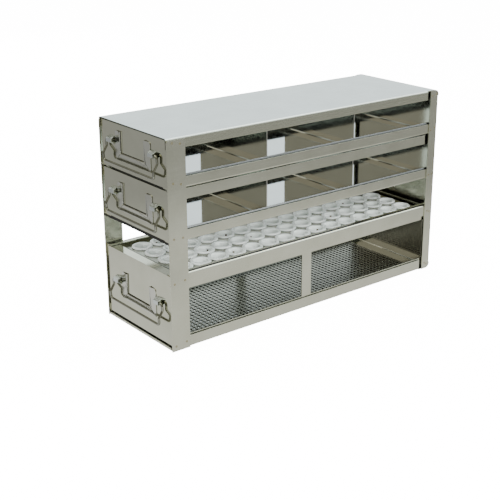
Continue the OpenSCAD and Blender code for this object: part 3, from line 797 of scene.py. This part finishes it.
def rolled_steel(
    name,
    light,
    dark,
    roughness,
    along="Y",
    wave=WAVE_DEPTH,
    edge_shade_beyond=None,
    cut="Z",
    edge=EDGE_RADIUS,
    upright=None,
):
    """Cold-rolled stainless sheet between two greys, with its grain along one axis.
    Its cut edges are rough, and painted dark as painted shade of the narrow gaps beside them:
    the faces along the axis cut, further out in x than the given distance. Where a tone for
    upright faces is given, the faces that stand up are painted that tone, as painted shade."""
    material, tree = empty_material(name)
    place = add(tree, "ShaderNodeTexCoord").outputs["Object"]
    lengths = {axis: GRAIN_LENGTH if axis == along else GRAIN_WIDTH for axis in "XYZ"}
    stretch = [1 / lengths[axis] for axis in "XYZ"]
    streaks = add(tree, "ShaderNodeMapping", {"Vector": place, "Scale": stretch}).outputs[0]
    streak = add(tree, "ShaderNodeTexNoise", {"Vector": streaks, "Scale": 1.0, "Detail": 3.0})
    smudge = add(
        tree, "ShaderNodeTexNoise", {"Vector": place, "Scale": 1 / SMUDGE_LENGTH, "Detail": 4.0}
    )
    waves = add(
        tree, "ShaderNodeTexNoise", {"Vector": place, "Scale": 1 / WAVE_LENGTH, "Detail": 1.0}
    )
    worn = add(
        tree,
        "ShaderNodeMapRange",
        {"Value": smudge.outputs[0], "From Min": 0.3, "From Max": 0.7},
    )
    tone = add(
        tree,
        "ShaderNodeMix",
        {"Factor": worn.outputs[0], "A": colour(light), "B": colour(dark)},
        data_type="RGBA",
    )
    dull = add(
        tree,
        "ShaderNodeMapRange",
        {
            "Value": streak.outputs[0],
            "From Min": 0.3,
            "From Max": 0.7,
            "To Min": roughness * 0.8,
            "To Max": roughness * 1.25,
        },
    )
    rounded = add(tree, "ShaderNodeBevel", {"Radius": edge}, samples=6)
    flat = add(
        tree,
        "ShaderNodeBump",
        {"Height": waves.outputs[0], "Distance": wave, "Normal": rounded.outputs[0]},
    )
    fine = add(
        tree,
        "ShaderNodeBump",
        {"Height": streak.outputs[0], "Distance": GRAIN_DEPTH, "Normal": flat.outputs[0]},
    )
    tint, gloss = tone.outputs["Result"], dull.outputs[0]
    facing = add(tree, "ShaderNodeNewGeometry").outputs["True Normal"]
    faces = add(tree, "ShaderNodeSeparateXYZ", {0: facing})
    # Painted shade: the faces that stand up take the darker upright tone.
    if upright is not None:
        lying = add(tree, "ShaderNodeMath", {0: faces.outputs["Z"]}, operation="ABSOLUTE")
        tint = add(
            tree,
            "ShaderNodeMix",
            {"Factor": lying.outputs[0], "A": colour(upright), "B": tint},
            data_type="RGBA",
        ).outputs["Result"]
    # Painted shade: faces along the cut axis, further out than the given x, are painted near black.
    if edge_shade_beyond is not None:
        end_on = add(tree, "ShaderNodeMath", {0: faces.outputs[cut]}, operation="ABSOLUTE")
        square = add(
            tree, "ShaderNodeMath", {0: end_on.outputs[0], 1: 0.9}, operation="GREATER_THAN"
        )
        across_x = add(tree, "ShaderNodeSeparateXYZ", {0: place}).outputs["X"]
        reach_x = add(tree, "ShaderNodeMath", {0: across_x}, operation="ABSOLUTE")
        outer = add(
            tree, "ShaderNodeMath", {0: reach_x.outputs[0], 1: edge_shade_beyond}, operation="GREATER_THAN"
        )
        painted_edge_shade = add(
            tree,
            "ShaderNodeMath",
            {0: square.outputs[0], 1: outer.outputs[0]},
            operation="MULTIPLY",
        ).outputs[0]
        tint = add(
            tree,
            "ShaderNodeMix",
            {"Factor": painted_edge_shade, "A": tint, "B": colour(EDGE_SHADE_COLOUR)},
            data_type="RGBA",
        ).outputs["Result"]
        gloss = add(
            tree,
            "ShaderNodeMapRange",
            {"Value": painted_edge_shade, "To Min": gloss, "To Max": CUT_ROUGHNESS},
        ).outputs[0]
    steel = add(
        tree,
        "ShaderNodeBsdfPrincipled",
        {"Base Color": tint, "Metallic": 1.0, "Roughness": gloss, "Normal": fine.outputs[0]},
    )
    add(tree, "ShaderNodeOutputMaterial", {"Surface": steel.outputs[0]})
    return material


print("steel grain drawn", GRAIN_WIDTH / MM, "mm wide")

# %% [markdown]
# The rack's sheets don't all look alike. The fronts, the drawers' floors and the walls between
# the bays mirror crisply. The frame, the rails and the cover are duller, and the plate under
# the inserts is painted the darkest, as painted shade under the middle drawer. The cover's
# upright sides are painted darker and warmer than its cooler top, as painted shade, and its fold
# is the widest. One material for all would make folds hard to tell from the sheets behind them,
# so each finish is one call with its own two greys and roughness.

# %% Steel finishes
frame_steel = rolled_steel(
    "cold_rolled_stainless_frame", "#cdcebb", "#c4c5b1", 0.2, edge_shade_beyond=RIM_X
)
# The cover's upright faces are painted a darker, warmer grey than its top: painted shade. Its edge
# faces along Y are painted near black: painted shade of the gap above the upper front.
cover_steel = rolled_steel(
    "cold_rolled_stainless_cover",
    "#d3d9d6",
    "#cbd1ce",
    0.24,
    edge_shade_beyond=0.0,
    cut="Y",
    edge=0.8 * MM,
    upright="#bdbeaa",
)
strap_steel = rolled_steel("cold_rolled_stainless_strap", "#d3d9d6", "#cbd1ce", 0.24)
front_steel = rolled_steel("polished_stainless_front", "#cacbb9", "#c1c2af", 0.1, along="X")
drawer_steel = rolled_steel(
    "cold_rolled_stainless_drawer", "#dadad0", "#d2d2c8", 0.08, wave=0.02 * MM, edge_shade_beyond=RIM_X
)
rail_steel = rolled_steel("cold_rolled_stainless_rail", "#cdcebb", "#c4c5b1", 0.2, edge_shade_beyond=RIM_X)
floor_steel = rolled_steel("polished_stainless_floor", "#cbd1d0", "#c4cac8", 0.07, edge_shade_beyond=RIM_X)
# The plate's dark grey is painted shade: it lies under the middle drawer.
plate_steel = rolled_steel("stainless_plate_painted_shade", "#8b8c7f", "#7f8072", 0.22)
# The wire's darker grey is a painted dark reflection of the dim room in front of the rack.
wire_steel = rolled_steel(
    "drawn_stainless_wire_painted_shade", "#96978b", "#898a7e", 0.09, along="Z", wave=0.02 * MM
)
print(len(bpy.data.materials), "materials so far")

# %% [markdown]
# The inserts are white moulded polypropylene. It is a little translucent, so light creeps under
# its skin and its shadows are soft. Its skin is satin, with a faint orange peel. The floor of
# each slot is painted a dark matt grey-brown: painted shade for the dark room under the plate.

# %% White plastic
PEEL, PEEL_DEPTH = 0.6 * MM, 0.01 * MM
CLOUD = 20 * MM
PLASTIC_EDGE, LIGHT_REACH = 0.3 * MM, 1.2 * MM


def moulded_plastic(name, tint, shade, roughness):
    """Satin moulded plastic, a little uneven in tone."""
    material, tree = empty_material(name)
    place = add(tree, "ShaderNodeTexCoord").outputs["Object"]
    cloud = add(tree, "ShaderNodeTexNoise", {"Vector": place, "Scale": 1 / CLOUD, "Detail": 2.0})
    skin = add(tree, "ShaderNodeTexNoise", {"Vector": place, "Scale": 1 / PEEL, "Detail": 1.0})
    tone = add(
        tree,
        "ShaderNodeMix",
        {"Factor": cloud.outputs[0], "A": colour(tint), "B": colour(shade)},
        data_type="RGBA",
    )
    rounded = add(tree, "ShaderNodeBevel", {"Radius": PLASTIC_EDGE}, samples=4)
    bump = add(
        tree,
        "ShaderNodeBump",
        {
            "Height": skin.outputs[0],
            "Distance": PEEL_DEPTH,
            "Strength": 0.6,
            "Normal": rounded.outputs[0],
        },
    )
    plastic = add(
        tree,
        "ShaderNodeBsdfPrincipled",
        {
            "Base Color": tone.outputs["Result"],
            "Roughness": roughness,
            "Subsurface Weight": 0.1,
            "Subsurface Radius": (1.0, 1.0, 1.0),
            "Subsurface Scale": LIGHT_REACH,
            "Normal": bump.outputs[0],
        },
    )
    add(tree, "ShaderNodeOutputMaterial", {"Surface": plastic.outputs[0]})
    return material


def coat(piece, material):
    """Gives a piece one material all over."""
    piece.data.materials.clear()
    piece.data.materials.append(material)


polypropylene = moulded_plastic("white_polypropylene", "#dde3df", "#d3dad5", 0.45)
# The slot floors' dark grey-brown is painted shade, standing for the dark room under the plate.
slot_painted_shade = moulded_plastic("painted_shade_slot_floor", "#6d6558", "#5d564a", 0.7)
for joined in insert_rows:
    coat(joined, polypropylene)
    joined.data.materials.append(slot_painted_shade)
    for face in joined.data.polygons:
        face.material_index = 1 if len(face.vertices) > 4 else 0
print("plastic on", len(insert_rows), "rows")

# %% [markdown]
# The mat, the label holders and the spot welds are steel too. Punching leaves the mat scratched
# and dull, and its dark grey is painted shade of the dark space it mirrors. The holders are
# bright strip, and each weld has a straw brown rim round a grey print. The print is the coin's
# one face with 12 corners on each side, so it is found by that.

# %% Mat, label holders and spot welds
# The mat's dark grey is painted shade; its roughness is the punched sheet's own.
coat(mat, rolled_steel("punched_stainless_mat_painted_shade", "#88887e", "#78786e", 0.32))
bright_strip = rolled_steel("bright_stainless_strip", "#cfd0c6", "#c5c6bb", 0.14, along="X")
for piece in holders:
    coat(piece, bright_strip)

tint = rolled_steel("straw_tinted_weld_rim", "#a59a74", "#93875f", 0.42)
dull = rolled_steel("dull_weld_print", "#bdbaa6", "#b1ad98", 0.4)
spot_welds.data.materials.clear()
spot_welds.data.materials.append(tint)
spot_welds.data.materials.append(dull)
for face in spot_welds.data.polygons:
    face.material_index = 1 if len(face.vertices) > 4 else 0
print("steel on the mat,", len(holders), "holders and", len(prints), "spot welds")

# %% [markdown]
# The frame's and the drawers' sheets have the right shape already, so each gets its steel in
# its material slots. A dictionary of name endings keeps this short, and the first ending that
# fits a piece decides.

# %% Steel on the sheet pieces
# The ties and the lip under the middle drawer get near-black steel: painted shade of the gaps under
# the fronts.
painted_shade_steel = rolled_steel("painted_shade_dark_steel", "#3a3a35", "#2e2e2a", 0.5)
coat(lip, painted_shade_steel)
FINISH = {
    "_tie": painted_shade_steel,
    "cover": cover_steel,
    "divider_front": drawer_steel,
    "ledge_front": drawer_steel,
    "_front": front_steel,
    "_tray": floor_steel,
    "tube_plate": plate_steel,
    "_wall": drawer_steel,
    "divider_rear": drawer_steel,
    "ledge_rear": drawer_steel,
    "side_rail_left": rail_steel,
    "side_rail_right": rail_steel,
    "straps": strap_steel,
    "_handle": wire_steel,
}

for name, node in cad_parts.items():
    endings = [ending for ending in FINISH if name.endswith(ending)]
    coat(node, FINISH[endings[0]] if endings else frame_steel)
print("coated", len(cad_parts), "pieces")
